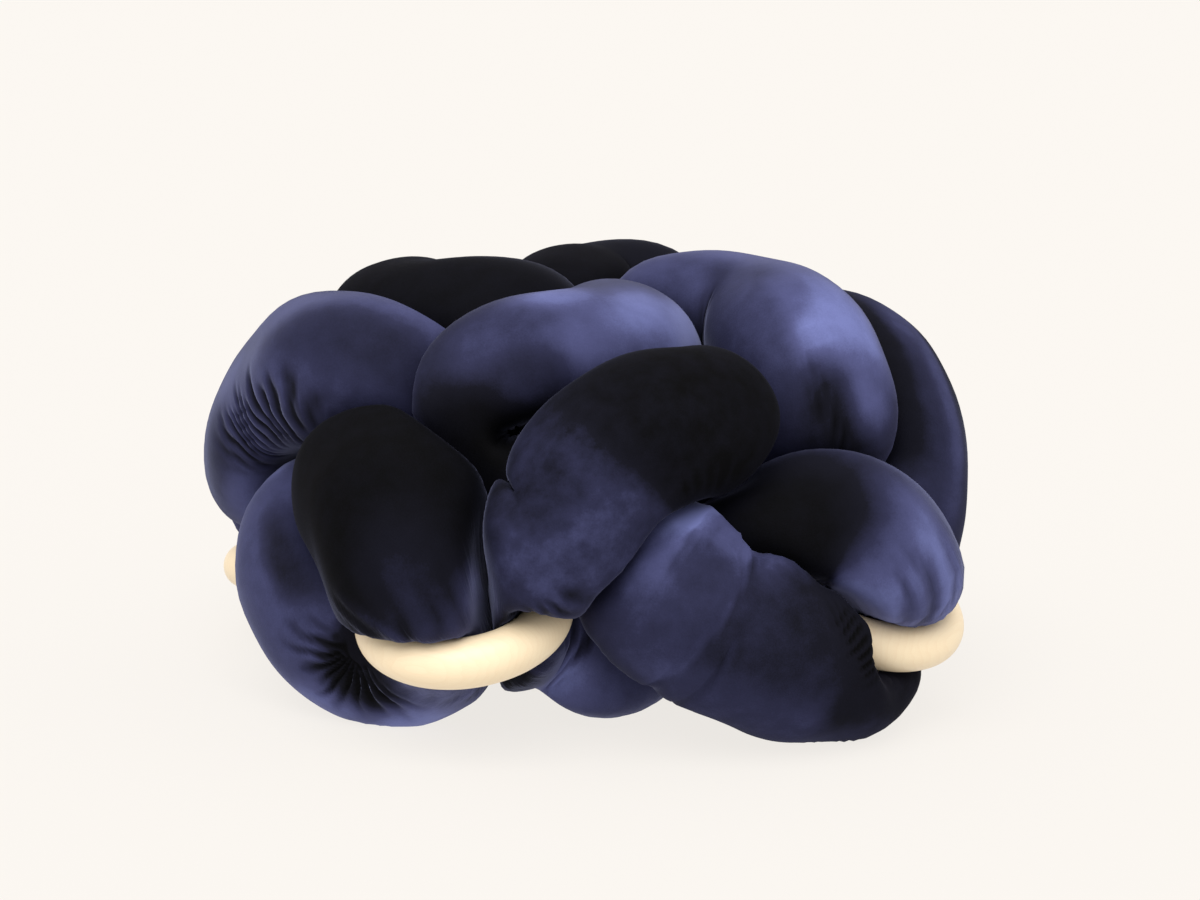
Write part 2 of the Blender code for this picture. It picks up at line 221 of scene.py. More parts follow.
unevenRows = [uneven(*row) for row in (
    (0, "ring", 3, 0, -2),
    (0, "out below the ring", 0, -12, 15, -5),
    (0, "foot", 0, -14, -3),
    (0, "shoulder drop", 1, 0, -2, 5),
    (0, "upper side", 0, -6, 0),
    (0, "crown start", 0, 10, -8),
    (0, "crown crest", 0, 10, -10),
    (0, "turn back", -4, -2, 1, -1),
    (0, "band start", -3, -3, 2, -5),
    (0, "band", -1, 0, 5),
    (0, "band end", 0, -2, 3),
    (0, "band foot", -1, 4, 2),
    (0, "back through the ring", 0, 0, 0, -8),
    (0, "in below the ring", 8, -34, 2),
    (0, "low run", 6, 8, -2, 3),
    (1, "ring", 0, 0, -9),
    (1, "shoulder rise", 0, 0, -12),
    (1, "shoulder crest", 2, -2, -26),
    (1, "shoulder drop", -4, -5, -20, 3),
    (1, "out below the ring", -4, 12, 2, 3),
    (1, "foot", 0, 14, 5, 3),
    (1, "lower side", -1, 2, 6, 3),
    (1, "upper side", -3, -1, -1, 2),
    (1, "valley", -6, 4, -10),
    (1, "crown start", 0, 2, -9),
    (1, "crown crest", 2, 0, -11),
    (1, "crown end", 0, 0, -6),
    (1, "band start", 0, 4, 4),
    (1, "band", 0, 4, 4),
    (1, "band end", 0, -4, 0),
    (1, "band foot", 0, -5, 0),
    (1, "in below the ring", 0, 0, -7),
    (2, "valley", 0, 14, 0),
    (2, "crown start", 0, 11, 4),
    (2, "crown crest", 0, 9, 2),
    (3, "ring", 4, 4, -20),
    (3, "crown start", 6, 0, 0),
    (3, "crown crest", 8, 0, -6),
    (3, "turn back", 0, 0, 8),
    (3, "band start", 0, 0, 12),
    (3, "band", 0, 3, 4),
    (3, "band end", 0, 6, -2),
    (3, "band foot", 0, 0, -8),
    (3, "in below the ring", 0, 0, -16),
    (3, "low run", 0, 0, -8),
)]

tubeShape = {
    "stations": 1240,  # cross-sections along the tube
    "columns": 80,  # points round each of them
    "closerAtRings": 1.4,
    "closerAtBends": 1.2,
    "closerAtPleats": 3.0,
    "columnsDrawnIn": 0.62,  # how strongly the columns gather round the finer lines, below 1
    "strandGap": 0.8,  # between two stretches that press on each other
    "ringGap": 0.3,
    "bendShare": 0.88,  # how near the inside of a bend comes to the bend's middle
    "creaseSharpness": 14.0,
    "neighbours": 1800,  # points along the tube that each cross-section looks out for
    "smoothingAlong": 8,
    "smoothingRound": 2,
    "bendPasses": 6,  # that even out where the tube bends
    "thinnest": 4.0,
    "dimpleFrom": 0.70,  # where the inside of a bend is drawn smooth: 1 is the bend's middle
    "dimpleFull": 0.92,
    "dimpleShare": 0.9,  # how far a point moves towards its neighbours' mean in one round
    "dimpleRounds": 60,
    "knotPower": 0.75,  # of the distance between two places, for the spline's even run
    "traceSteps": 8000,  # in which the middle line is measured
    "atRing": 60.0,  # how far from a ring's middle the stations lie closer
    "slackBend": 0.006,  # bends, as 1 over their radius, between which stations come to lie closer
    "tightBend": 0.014,
    "bendSpread": 60,  # trace steps either way that a bend is averaged over
    "drawnInReach": 1.4,  # how far the columns are drawn in, in lengths of the finer stretch
    "nearNeighbours": 2.0,  # how many neighbours' spacing a stretch is too near to press on
    "pressReach": 3.2,  # how far off a stretch can still press, in radii
    "strangeFrom": 2.0,  # from how many radii along the tube a stretch counts by its own thickness
    "strangeOver": 2.0,  # and over how many more it comes to
    "ringLookOut": 180.0,  # how far from a ring's middle its wood is looked out for
}


# Pleats lie side by side round a middle place: how their troughs are turned from the tube's own direction,
# how many there are, how far apart, and how long and deep each is.
pleats = namedtuple("pleats", "corner place along round turn count apart length depth")

pleatRows = (
    pleats(3, "band start", 58, 46, 92, 12, 10.0, 44, 4.6),  # inside the left band's bend
    pleats(1, "into the ring", 6, 100, 6, 11, 9.0, 30, 2.4),  # where the right foot goes under its ring
    pleats(1, "foot", 9, 57, -47, 8, 8.0, 20, 2.4),  # along the edge that it shows there
    pleats(1, "shoulder drop", -3, 56, 0, 11, 7.0, 24, 1.9),  # where the right shoulder goes into the ring
    pleats(0, "band end", 26, 168, 84, 5, 9.0, 24, 2.2),  # where the front band meets its ring
    pleats(0, "band start", 30, 152, 86, 6, 9.0, 26, 1.8),  # under the front band's bend
    pleats(2, "valley", 14, 48, 60, 4, 8.0, 18, 2.0),  # beside the front band's bend
    pleats(1, "crown crest", 22, 64, 60, 6, 8.0, 18, 1.6),  # where the front crown dives under
)


# A fan's lines meet at a focus: which way its middle is turned, how many degrees it spreads over, how many
# lines it has, and how far from the focus they begin and end.
fan = namedtuple("fan", "corner place along round turn spread count inner outer depth")

fanRows = (
    fan(0, "foot", -30, 24, -48, 112, 10, 10, 72, 4.2),  # out of the left end of the front ring
)


# Where the grid is finer, for the folds there: round which line of the tube, and how far either way.
finer = namedtuple("finer", "corner place along round lengthwise")

finerRows = (
    finer(3, "band start", 58, 48, 66),
    finer(0, "foot", 2, 0, 46),
    finer(0, "shoulder drop", 8, 330, 22),
    finer(1, "into the ring", 8, 100, 24),
    finer(1, "lower side", 14, 70, 7),
    finer(1, "upper side", -9, 98, 7),
    finer(0, "band end", 24, 172, 22),
    finer(1, "foot", 9, 57, 28),
)


# Where the cloth is drawn tight over what would be a crease, as half sizes along the tube and round it.
taut = namedtuple("taut", "corner place along round lengthwise roundabout")

tautRows = (
    taut(0, "band foot", -6, 185, 34, 60),
    taut(0, "in below the ring", -8, 144, 48, 60),
    taut(1, "lower side", 25, 148, 44, 46),
    taut(1, "valley", 0, 44, 42, 44),
)


def placeNumber(place):
    return [row.place for row in loopRows].index(place)


def sectionAt(row, corner):  # x, y, z and radius
    if isinstance(row, ringPass):
        middle, sideways, _ = ringMiddle(corner)
        *_, radius = asItLies(corner, row.place, 0.0, 0.0, 0.0, row.radius)
        return [*(middle + sideways * row.sideways), radius]
    angle, reach, height, radius = asItLies(corner, *row)
    offset = np.array([reach * math.cos(angle), reach * math.sin(angle), height])
    return [*(ringShape["axisAt"] + offset), radius]


def closedSpline(knots, values, places):
    # A cubic between each two values whose slope and bend run on unbroken, also over the closing.
    count = len(values)
    span = np.diff(knots)
    before = np.roll(span, 1)
    rows = np.arange(count)
    matrix = np.zeros((count, count))
    matrix[rows, rows - 1] = before
    matrix[rows, rows] = 2.0 * (before + span)
    matrix[rows, (rows + 1) % count] = span
    slope = (np.roll(values, -1, axis=0) - values) / span[:, None]
    bend = np.linalg.solve(matrix, 6.0 * (slope - np.roll(slope, 1, axis=0)))
    here = np.clip(np.searchsorted(knots, places, side="right") - 1, 0, count - 1)
    after = (here + 1) % count
    width = span[here][:, None]
    left = (knots[here + 1] - places)[:, None]
    right = (places - knots[here])[:, None]
    cubic = (bend[here] * left**3 + bend[after] * right**3) / (6.0 * width)
    fromHere = (values[here] / width - bend[here] * width / 6.0) * left
    fromAfter = (values[after] / width - bend[after] * width / 6.0) * right
    return cubic + fromHere + fromAfter


def tubeLine(stations, closerAtRings=0.0, closerAtBends=0.0, closerAtPleats=0.0):
    # Stations spread evenly over the length times a density, which is higher at the rings, in tight bends and
    # where the grid is finer.
    route = np.array([sectionAt(row, corner) for corner in corners for row in loopRows])
    ring = np.vstack([route, route[:1]])
    spans = np.linalg.norm(np.diff(ring[:, :3], axis=0), axis=1) ** tubeShape["knotPower"]
    knots = np.concatenate([[0.0], np.cumsum(spans)])
    fine = np.linspace(0.0, knots[-1], tubeShape["traceSteps"] + 1)
    trace = closedSpline(knots, route, fine)[:, :3]
    run = np.concatenate([[0.0], np.cumsum(np.linalg.norm(np.diff(trace, axis=0), axis=1))])
    middles = np.array([ringMiddle(corner)[0] for corner in corners])
    toRing = np.linalg.norm(trace[:, None] - middles[None], axis=2).min(axis=1)
    along = unit(np.gradient(trace, axis=0))
    bend = np.linalg.norm(np.gradient(along, axis=0), axis=1) / np.gradient(run)
    spread = tubeShape["bendSpread"]
    average = np.ones(2 * spread + 1) / (2 * spread + 1)
    bend = np.convolve(np.pad(bend, spread, mode="wrap"), average, mode="valid")
    density = 1.0 + closerAtRings * flatBell(toRing / tubeShape["atRing"])
    density = density + closerAtBends * smoothStep(tubeShape["slackBend"], tubeShape["tightBend"], bend)
    rowRun = np.interp(knots[:-1], fine, run).reshape(ringShape["corners"], len(loopRows))  # each row's place
    for row in finerRows:
        middle = rowRun[row.corner, placeNumber(row.place)] + row.along
        density = density + closerAtPleats * flatBell((run - middle) / row.lengthwise)
    share = np.concatenate([[0.0], np.cumsum((density[1:] + density[:-1]) / 2.0 * np.diff(run))])
    wanted = np.arange(stations) * share[-1] / stations
    line = closedSpline(knots, route, np.interp(wanted, share, fine))
    return {
        "line": line[:, :3],
        "radius": line[:, 3],
        "run": np.interp(wanted, share, run),
        "length": run[-1],
        "rowRun": rowRun,
    }


def carriedFrames(line):
    # Two directions across the tube, carried along without twisting; what is left at the closing is spread.
    along = unit(np.roll(line, -1, axis=0) - np.roll(line, 1, axis=0))
    guess = line - np.array([0.0, 0.0, ringShape["height"]])
    first = unit(guess - dot(guess, along)[:, None] * along)
    second = np.cross(along, first)
    ahead = np.roll(along, -1, axis=0)
    carried = first - (dot(first, ahead) / (1.0 + dot(along, ahead)))[:, None] * (along + ahead)
    turned = np.arctan2(dot(carried, np.roll(second, -1, axis=0)), dot(carried, np.roll(first, -1, axis=0)))
    total = np.cumsum(turned)
    leftOver = math.remainder(total[-1], math.tau)
    angle = (np.concatenate([[0.0], total[:-1]]) - leftOver * np.arange(len(line)) / len(line))[:, None]
    outward = np.cos(angle) * first + np.sin(angle) * second
    return along, outward, np.cross(along, outward)


# The tube's skin.

def reachToStrands(spokes, tube):
    # Two balls of radius a and b, d apart, share a plane (d^2 + a^2 - b^2) / 2d from the first. A spoke stops
    # half the gap before the nearest such plane; stretches that follow on count as equally thick.
    others = tubeLine(tubeShape["neighbours"])
    line, radius, run, length = tube["line"], tube["radius"], tube["run"], tube["length"]
    nearest = tubeShape["nearNeighbours"] * length / tubeShape["neighbours"]
    reach = np.full(spokes.shape[:2], np.inf)
    for station, middle in enumerate(line):
        toOther = others["line"] - middle
        distance = np.linalg.norm(toOther, axis=1)
        apart = np.abs(others["run"] - run[station])
        apart = np.minimum(apart, length - apart)
        counted = (apart > nearest) & (distance < tubeShape["pressReach"] * radius[station])
        toOther, distance, apart = toOther[counted], distance[counted], apart[counted]
        strange = (apart / radius[station] - tubeShape["strangeFrom"]) / tubeShape["strangeOver"]
        strange = np.clip(strange, 0.0, 1.0)
        squares = distance**2 + strange * (radius[station] ** 2 - others["radius"][counted] ** 2)
        inBend = (1.0 - tubeShape["bendShare"]) * distance**2
        left = np.where(strange > 0.0, tubeShape["strandGap"] * distance, inBend)
        ahead = spokes[station] @ toOther.T
        plane = (squares - left) / (2.0 * np.maximum(ahead, 1e-6))
        reach[station] = np.where(ahead > 0.0, plane, np.inf).min(axis=1)
    return reach


def reachToRings(spokes, line):  # each spoke stops where it would run into the wood, taken as a row of balls
    thick = ringShape["thickness"] / 2.0 + tubeShape["ringGap"]
    reach = np.full(spokes.shape[:2], np.inf)
    for corner in corners:
        near = np.linalg.norm(line - ringMiddle(corner)[0], axis=1) < tubeShape["ringLookOut"]
        toWood = ringCircle(corner)[None] - line[near][:, None]
        ahead = np.einsum("imk,ijk->imj", spokes[near], toWood)
        beside = dot(toWood, toWood)[:, None, :] - ahead**2
        into = ahead - np.sqrt(np.maximum(thick**2 - beside, 0.0))
        meets = (ahead > 0.0) & (beside < thick**2)
        reach[near] = np.minimum(reach[near], np.where(meets, into, np.inf).min(axis=2))
    return reach


def smoothedField(field, along, roundabout):
    for _ in range(along):
        field = (np.roll(field, 1, axis=0) + 2.0 * field + np.roll(field, -1, axis=0)) / 4.0
    for _ in range(roundabout):
        field = (np.roll(field, 1, axis=1) + 2.0 * field + np.roll(field, -1, axis=1)) / 4.0
    return field


def offTheWood(places):
    # A place nearer to the wood's middle line than half its thickness is moved straight away from that line.
    moved = places.copy()
    for corner in corners:
        middle, sideways, outward = ringMiddle(corner)
        upright = np.cross(outward, sideways)
        offset = moved - middle
        inPlane = offset - dot(offset, upright)[..., None] * upright
        fromMiddle = np.maximum(np.linalg.norm(inPlane, axis=-1, keepdims=True), 1.0)
        wood = inPlane * (ringShape["radius"] / fromMiddle)
        fromWood = offset - wood
        distance = np.linalg.norm(fromWood, axis=-1, keepdims=True)
        depth = np.maximum(ringShape["thickness"] / 2.0 + tubeShape["ringGap"] - distance, 0.0)
        moved += fromWood * (depth / np.maximum(distance, 0.1))
    return moved


def drawnSmooth(points, share, rounds):  # each point moves by its share towards its four neighbours' mean
    for _ in range(rounds):
        before, after = np.roll(points, 1, 0), np.roll(points, -1, 0)
        mean = (before + after + np.roll(points, 1, 1) + np.roll(points, -1, 1)) / 4.0
        points = points + share[:, :, None] * (mean - points)
    return points


def kept(points):  # out of the wood and above the floor
    points = offTheWood(points)
    points[:, :, 2] = np.maximum(points[:, :, 2], 0.0)
    return points


def columnAngles(tube):
    # Evenly spread angles, less a sine that draws them together round each finer line.
    angle = np.tile(roundTurns(tubeShape["columns"]), (len(tube["run"]), 1))
    for row in finerRows:
        past, _ = fromPlace({**tube, "angle": angle}, row)
        drawn = tubeShape["columnsDrawnIn"] * flatBell(past / (tubeShape["drawnInReach"] * row.lengthwise))
        angle = angle - drawn * np.sin(angle - math.radians(row.round))
    return angle


def tubeSkin():
    # Each point is its station's middle plus a spoke times its reach, which is the softer minimum of the free
    # radius and of how far the spoke may go before it meets another stretch or a ring. The pit that this
    # leaves inside a tight bend is drawn smooth.
    tube = tubeLine(*[tubeShape[k] for k in ("stations", "closerAtRings", "closerAtBends", "closerAtPleats")])
    line, radius = tube["line"], tube["radius"]
    along, outward, sideways = carriedFrames(line)
    angle = columnAngles(tube)
    turn = angle[:, :, None]
    spokes = np.cos(turn) * outward[:, None, :] + np.sin(turn) * sideways[:, None, :]
    limit = np.minimum(reachToStrands(spokes, tube), reachToRings(spokes, line))
    limit = np.clip(limit, tubeShape["thinnest"], 1000.0)
    free = np.broadcast_to(radius[:, None], limit.shape)
    sharp = tubeShape["creaseSharpness"]
    soft = (free**-sharp + limit**-sharp) ** (-1.0 / sharp)
    reach = np.minimum(smoothedField(soft, tubeShape["smoothingAlong"], tubeShape["smoothingRound"]), limit)
    points = kept(line[:, None, :] + reach[:, :, None] * spokes)
    step = np.linalg.norm(np.roll(line, -1, axis=0) - np.roll(line, 1, axis=0), axis=1)[:, None]
    bend = (np.roll(along, -1, axis=0) - np.roll(along, 1, axis=0)) / step
    bend = smoothedField(bend, tubeShape["bendPasses"], 0)
    inside = dot(bend[:, None, :], spokes) * radius[:, None]  # 1 where a full spoke ends at the bend's middle
    dimple = smoothStep(tubeShape["dimpleFrom"], tubeShape["dimpleFull"], inside)
    tube.update(spokes=spokes, along=along, angle=angle, inside=inside)
    for row in tautRows:
        past, turned = fromPlace(tube, row)
        dimple = np.maximum(dimple, flatBell(np.hypot(past / row.lengthwise, turned / row.roundabout)))
    tube["points"] = kept(drawnSmooth(points, tubeShape["dimpleShare"] * dimple, tubeShape["dimpleRounds"]))
    return tube


# Places on the tube: along is millimetres past a named place, round is degrees round the tube.
spot = namedtuple("spot", "corner place along round")


def fromPlace(tube, row):
    # How far each point lies past the row's place along the tube, and round it, both in millimetres.
    half = tube["length"] / 2.0
    start = tube["rowRun"][row.corner, placeNumber(row.place)] + row.along
    past = (tube["run"] - start + half) % tube["length"] - half
    turned = (tube["angle"] - math.radians(row.round) + math.pi) % math.tau - math.pi
    return past[:, None], turned * tube["radius"][:, None]


def turnedPlace(tube, row):  # the same in the row's own directions, along its lines and across them
    past, turned = fromPlace(tube, row)
    turn = math.radians(row.turn)
    return past * math.cos(turn) + turned * math.sin(turn), turned * math.cos(turn) - past * math.sin(turn)


foldShape = {
    "pleatWave": 15.0,  # along the tube's middle, from one pleat inside a bend to the next
    "pleatDepth": 3.0,
    "pleatFrom": 0.45,  # how far in towards a bend's middle the pleats begin
    "pleatFull": 0.95,
    "usualShare": 0.75,  # of the full depth, for pleats and gathers, before their noise
    "gathers": 22,  # round the tube where a ring pinches it
    "gatherDepth": 1.3,
    "gatherFrom": 16.0,  # from the ring's plane, along the tube
    "gatherLength": 22.0,
    "mostGathered": 1.2,
    "troughSharpness": 1.6,  # the higher, the narrower the troughs between the ridges
    "fanBegins": 12.0,  # over how much a fan's folds begin
    "fanAcross": 60.0,  # how wide a fan counts as for the noise in its ends
    "fanEdge": 8,  # how squarely a fan ends at its sides
    "rowEdge": 6,  # and a row of pleats
    "fanFades": 0.55,  # of their length, from where they fade
    "coverGrowth": 1.6,  # how much sooner placed folds put an end to the others than they reach full depth
}

# Each uneven line, end or height has noise of its own: its seed, how large it is, and how strong.
waver = namedtuple("waver", "seed size strength")

wavers = {
    "pleat lines": waver(3, 55.0, 2.2),
    "pleat share": waver(4, 40.0, 0.35),
    "gather share": waver(5, 60.0, 0.5),
    "gather lines": waver(6, 40.0, 1.6),
    "nap": waver(7, 190.0, 0.20),
    "swell": waver(8, 75.0, 1.6),
    "placed lines": waver(20, 38.0, 0.25),
    "placed ends": waver(30, 12.0, 0.3),
    "fan ends": waver(50, 9.0, 0.22),
    "fan lines": waver(60, 30.0, 0.22),
}


def wavered(name, places, number=0):  # number tells apart the rows that share a kind
    row = wavers[name]
    return row.strength * waveNoise(places, row.size, row.seed + number)


def unevenEnds(name, across, lengthwise, number):  # differs from line to line, and little along one
    return 1.0 + wavered(name, np.stack([across, 0.1 * lengthwise], axis=-1), number)


# height is a ridge's, or a trough's where it is below 0; turn is counted from the tube's own direction.
crease = namedtuple("crease", "corner place along round turn length width height")

creaseRows = (
    crease(0, "shoulder drop", 6, 342, -57, 30, 2.4, 1.8),  # thin ridges low on the black shoulder
    crease(0, "shoulder drop", 5, 331, -57, 34, 2.4, 1.8),
    crease(0, "shoulder drop", 9, 322, -57, 28, 2.2, 1.4),
    crease(1, "lower side", 14, 70, 94, 230, 2.4, -1.6),  # the seam that joins two lengths of velvet
    crease(1, "lower side", 34, 114, 0, 96, 24, 8),  # the right foot swells over the shoulder's edge
)


def trough(phase):  # 1 at the foot of each trough and 0 on the ridges between, one for each turn of the phase
    return (0.5 + 0.5 * np.cos(phase)) ** foldShape["troughSharpness"]


def creaseHeights(tube):
    # Each crease is height times a bell across its line times a flat-topped bell along it.
    heights = 0.0
    for row in creaseRows:
        lengthwise, across = turnedPlace(tube, row)
        line = np.exp(-((across / row.width) ** 2)) * flatBell(2.0 * lengthwise / row.length)
        heights = heights + row.height * line
    return heights


def pleatDepths(tube):
    # A trough each pleatWave along the tube, sharp at its foot, deepest inside the bend, in wandering lines.
    phase = math.tau * tube["run"][:, None] / foldShape["pleatWave"] + wavered("pleat lines", tube["points"])
    share = smoothStep(foldShape["pleatFrom"], foldShape["pleatFull"], tube["inside"])
    share = share * (foldShape["usualShare"] + wavered("pleat share", tube["points"]))
    return foldShape["pleatDepth"] * share * trough(phase)


def folded(folds, depth, within, phase):  # more troughs, and how far all of them cover each place
    depths, cover = folds
    covered = np.clip(foldShape["coverGrowth"] * within, 0.0, 1.0)
    return depths + depth * within * trough(phase), np.maximum(cover, covered)


def fannedPleats(tube):
    # Each row of fans: troughs at even angles about the focus, from the inner to the outer distance from it.
    folds = 0.0, 0.0
    for number, row in enumerate(fanRows):
        past, turned = fromPlace(tube, row)
        turn = math.radians(row.turn)
        angle = (np.arctan2(turned, past) - turn + math.pi) % math.tau - math.pi
        angle = np.degrees(angle) / row.spread
        distance = np.hypot(past, turned)
        ends = row.outer * unevenEnds("fan ends", foldShape["fanAcross"] * angle, distance, number)
        begun = smoothStep(row.inner, row.inner + foldShape["fanBegins"], distance)
        faded = smoothStep(foldShape["fanFades"] * ends, ends, distance)
        within = begun * (1.0 - faded) * flatBell(2.0 * angle, foldShape["fanEdge"])
        phase = math.tau * (row.count * angle + wavered("fan lines", tube["points"], number))
        folds = folded(folds, row.depth, within, phase)
    return folds


def placedPleats(tube):
    # Each row of pleats: troughs side by side, with uneven spacing and ends, after the fans.
    folds = fannedPleats(tube)
    for number, row in enumerate(pleatRows):
        lengthwise, across = turnedPlace(tube, row)
        phase = math.tau * (across / row.apart + wavered("placed lines", tube["points"], number))
        ends = row.length * unevenEnds("placed ends", across, lengthwise, number)
        besides = flatBell(2.0 * across / (row.count * row.apart), foldShape["rowEdge"])
        folds = folded(folds, row.depth, flatBell(2.0 * lengthwise / ends) * besides, phase)
    return folds


def gatherShare(tube):
    # 1 beside a ring, falling off as a bell along the tube, uneven round it.
    share = 0.0
    passes = [row.place for row in loopRows if isinstance(row, ringPass)]
    for corner, place in itertools.product(corners, passes):
        past, _ = fromPlace(tube, spot(corner, place, 0, 0))
        apart = np.maximum(np.abs(past) - foldShape["gatherFrom"], 0.0)
        share = share + np.exp(-((apart / foldShape["gatherLength"]) ** 2))
    share = share * (foldShape["usualShare"] + wavered("gather share", tube["points"]))
    return np.clip(share, 0.0, foldShape["mostGathered"])


def gatherDepths(tube):
    # Troughs that run along the tube out of the ring, a fixed number round it, in wandering lines.
    phase = foldShape["gathers"] * tube["angle"] + wavered("gather lines", tube["points"])
    return foldShape["gatherDepth"] * tube["gather"] * trough(phase)


# Tone painted on the tube, partly the pile's brushing and partly painted light and painted shade: 0 looks
# black, 1 is fully lit. Each stroke covers what was painted before it.
nap = namedtuple("nap", "corner place along round lengthwise roundabout tone")

napAndPaintedLightRows = [nap(*row) for row in (
    (0, "crown crest", 10, 305, 130, 90, 0.08),  # back left crown
    (3, "crown end", -25, 155, 110, 90, 0.10),  # back crown
    (3, "band start", 5, 100, 60, 90, 0.56),  # left band
    (3, "band start", 5, 128, 50, 28, 0.74),
    (3, "band start", -19, 164, 40, 30, 0.66),
    (3, "band start", -13, 108, 26, 30, 0.42),
    (3, "band", -5, 92, 30, 26, 0.68),
    (3, "band", -8, 50, 50, 40, 0.66),
    (3, "band", -4, 124, 30, 22, 0.46),
    (3, "band start", -20, 172, 24, 30, 0.74),
    (3, "band start", 23, 56, 24, 30, 0.66),
    (3, "band end", -12, 20, 24, 34, 0.82),
    (1, "crown crest", -5, 20, 90, 80, 0.62),  # front crown, with painted highlights on its top
    (1, "crown crest", -5, 12, 85, 30, 0.80),
    (1, "crown crest", 36, 58, 26, 20, 0.88),
    (1, "crown crest", 29, 32, 22, 22, 1.0),
    (1, "crown crest", 11, 350, 26, 24, 0.96),
    (1, "crown end", -40, 14, 24, 24, 1.0),
    (1, "crown crest", -28, 322, 22, 24, 0.92),
    # painted shade in the crease and the slit under the front crown
    (1, "crown start", -14, 44, 34, 60, 0.26),
    (1, "valley", -8, 55, 60, 96, 0.0),
    (1, "crown start", 6, 348, 22, 30, 0.58),
    (1, "crown start", 9, 24, 18, 24, 0.42),
    (2, "crown start", 0, 80, 90, 110, 0.62),  # right crown, with a painted highlight band
    (2, "crown crest", 25, 78, 60, 30, 0.78),
    (2, "crown end", -25, 50, 30, 40, 0.68),
    (2, "crown crest", 35, 27, 24, 26, 0.64),
    (2, "crown start", 15, 40, 20, 30, 0.62),
    (2, "crown start", 14, 82, 30, 22, 0.82),
    (2, "crown start", -6, 88, 22, 34, 0.98),
    (2, "crown start", -5, 61, 12, 22, 1.0),
    (2, "crown start", 13, 56, 10, 14, 0.78),
    (2, "crown start", -21, 50, 11, 18, 0.48),
    (2, "valley", 10, 54, 20, 50, 0.30),
    (2, "valley", 17, 82, 12, 20, 0.76),
    (1, "band", 0, 335, 110, 80, 0.25),  # band behind on the right, painted dark, with a painted sheen along its rim
    (1, "band", -12, 326, 40, 20, 0.16),
    (1, "band", 2, 290, 100, 14, 0.44),
    (1, "band", 4, 272, 100, 14, 0.66),
    (1, "band", -33, 284, 24, 16, 0.62),
    (0, "band", 10, 215, 90, 120, 0.46),  # the band in front
    (0, "band end", -18, 186, 40, 30, 0.56),
    (0, "band end", 9, 200, 34, 50, 0.60),
    (0, "band foot", -2, 222, 20, 26, 0.66),
    (0, "band", 2, 228, 24, 30, 0.52),
    (0, "band end", -15, 244, 30, 28, 0.38),
    (0, "band", -24, 220, 30, 100, 0.16),
    (0, "band start", 12, 217, 56, 120, 0.06),
    (0, "shoulder crest", 15, 290, 90, 130, 0.03),  # shoulder in front, painted black as shade, with a painted highlight low down
    (0, "shoulder drop", -5, 295, 60, 130, 0.03),
    (0, "shoulder drop", 2, 290, 20, 40, 0.22),
    (0, "shoulder drop", 15, 250, 13, 34, 0.94),
    (0, "shoulder drop", 27, 278, 14, 44, 0.60),
    (0, "shoulder drop", 1, 220, 20, 18, 0.02),
    (0, "out below the ring", -10, 302, 60, 44, 0.70),
    (0, "foot", 0, 310, 60, 40, 0.68),
    (0, "upper side", -10, 20, 60, 70, 0.70),  # left foot
    (0, "lower side", 0, 15, 70, 60, 0.64),
    (0, "foot", 20, 350, 70, 50, 0.64),
    (0, "lower side", -7, 44, 34, 16, 0.34),
    (0, "foot", 21, 32, 24, 18, 0.62),
    # painted light where the left foot lies in shadow by the crease
    (0, "upper side", 4, 28, 16, 16, 0.95),
    (0, "foot", -24, 10, 30, 44, 0.16),
    (0, "foot", 12, 331, 26, 24, 0.88),
    (0, "foot", -25, 297, 26, 28, 1.0),
    (1, "shoulder crest", 0, 90, 80, 110, 0.55),  # shoulder on the right, painted light on its lit lower side and dark higher up
    (1, "shoulder drop", -12, 98, 40, 60, 0.80),
    (1, "shoulder drop", -2, 84, 18, 24, 1.0),
    (1, "shoulder drop", -18, 34, 26, 26, 0.86),
    (1, "shoulder drop", -2, 38, 18, 18, 1.0),
    (1, "shoulder drop", -14, 56, 16, 16, 0.86),
    (1, "shoulder crest", 17, 102, 22, 28, 0.92),
    (1, "shoulder crest", -12, 111, 24, 22, 0.64),
    (1, "shoulder drop", -22, 96, 22, 24, 0.98),
    (1, "shoulder crest", 10, 69, 22, 22, 0.80),
    (1, "shoulder crest", -32, 56, 44, 64, 0.03),
    (1, "lower side", 0, 70, 110, 110, 0.38),  # right foot
    (1, "upper side", -10, 80, 50, 90, 0.50),
    (1, "lower side", 0, 346, 60, 30, 0.60),
    (1, "foot", 20, 350, 60, 34, 0.58),
    (1, "foot", -6, 28, 22, 44, 0.28),
    (1, "upper side", -5, 10, 30, 34, 0.52),
    (1, "lower side", 9, 68, 20, 40, 0.48),
    (1, "upper side", 0, 56, 22, 40, 0.76),
    (1, "upper side", 3, 104, 20, 40, 0.92),
    # painted light where the front band shades the right foot
    (1, "upper side", 1, 118, 14, 16, 1.0),
    (1, "out below the ring", 27, 79, 60, 60, 0.20),
    (0, "low run", -15, 160, 60, 70, 0.64),
    (0, "in below the ring", -22, 170, 34, 40, 0.68),
    (0, "in below the ring", 3, 206, 26, 34, 0.94),
    (0, "back through the ring", 15, 154, 16, 30, 0.70),
)]


brushRows = (  # where hands have left marks in the pile: their tone is how much they waver
    nap(0, "band", 20, 215, 110, 90, 0.17),
    nap(1, "upper side", -12, 80, 70, 80, 0.10),
)

napAndPaintedLightShape = {
    "unbrushed": 0.42,
    "unmarked": 0.06,  # how much the pile wavers where no hand has left marks
    "strokeFull": 0.3,  # in half sizes of its ellipse, up to where a stroke has its full tone
    "strokeEnds": 1.5,
    "edgeBlur": 0.8,  # over how much either side of an edge its tone begins
    "paintedShadeInTroughs": 0.13,  # painted shade in troughs, for each millimetre
    # painted highlight on ridges, for each millimetre
    "paintedHighlightOnRidges": 0.14,
    "lowRidge": 1.8,  # a ridge's painted highlight grows no lighter past this height
}


